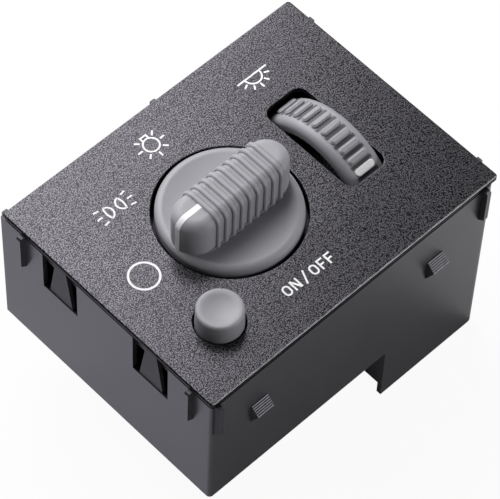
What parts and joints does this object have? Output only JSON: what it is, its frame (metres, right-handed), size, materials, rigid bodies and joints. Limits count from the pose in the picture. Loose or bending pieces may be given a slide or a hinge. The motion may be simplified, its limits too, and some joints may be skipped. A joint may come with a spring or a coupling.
{
  "type": "headlight switch",
  "caption": "Dashboard headlamp switch block: rotary lamp knob, dimmer thumbwheel and push button on a rectangular face, in a stepped snap-in housing with a rear harness socket.",
  "frame": {"origin": "middle of the face plate's front surface", "axes": "+Z out of the face towards the driver, +X along the face in the reading direction of its label, from the push button to the dimmer wheel, +Y towards the top of the lamp symbols"},
  "size_m": [0.1032, 0.0812, 0.0812],
  "materials": {
    "face_black": "fine leather grain",
    "housing_black": "smooth moulded",
    "carrier_black": "smooth moulded",
    "knob_grey": "satin soft-touch",
    "mark_white": "satin",
    "clear_plastic": "clear, frosted on the back",
    "screw_steel": "zinc plated",
    "spring_steel": "drawn",
    "contact_brass": "stamped",
    "board_green": "solder mask",
    "switch_box": "moulded",
    "rotor_cream": "natural acetal",
    "socket_grey": "moulded",
    "bulb_glass": "clear"
  },
  "bodies": {
    "root": {"face_plate": "face_black", "main_housing": "housing_black", "switch_carrier": "carrier_black", "light_diffuser": "clear_plastic", "carrier_screws": "screw_steel", "circuit_board": "board_green", "board_screws": "screw_steel", "connector_header": "socket_grey", "connector_pins": "contact_brass", "rotary_switch_base": "switch_box", "rotary_switch_lid": "switch_box", "fixed_contacts": "contact_brass", "detent_spring": "spring_steel", "dimmer_potentiometer": "switch_box", "potentiometer_leads": "screw_steel", "push_switch": "switch_box", "lamp_holders": "switch_box", "backlight_bulbs": "bulb_glass", "button_spring": "spring_steel"},
    "knob": {"rotary_knob": "knob_grey", "knob_pointer": "mark_white", "knob_clip": "spring_steel", "knob_shaft": "screw_steel", "contact_rotor": "rotor_cream", "wiper_contacts": "contact_brass"},
    "dimmer": {"thumbwheel": "knob_grey", "wheel_index": "mark_white", "wheel_axle": "screw_steel"},
    "button": {"button_cap": "knob_grey", "button_plunger": "rotor_cream"}
  },
  "joints": [
    {"name": "knob_turn", "type": "hinge", "parent": "root", "child": "knob", "pos_m": [-0.0077, 0, 0], "axis": [0, 0, 1], "range_deg": [-90, 0], "deforming": ["detent_spring"]},
    {"name": "dimmer_turn", "type": "hinge", "parent": "root", "child": "dimmer", "pos_m": [0.0268, -0.0006, -0.0173], "axis": [-1, 0, 0], "range_deg": [0, 80]},
    {"name": "button_press", "type": "slide", "parent": "root", "child": "button", "axis": [0, 0, -1], "range_m": [0, 0.0025], "stiffness_N_per_m": 600, "springref_m": -0.003, "deforming": ["button_spring"]}
  ]
}
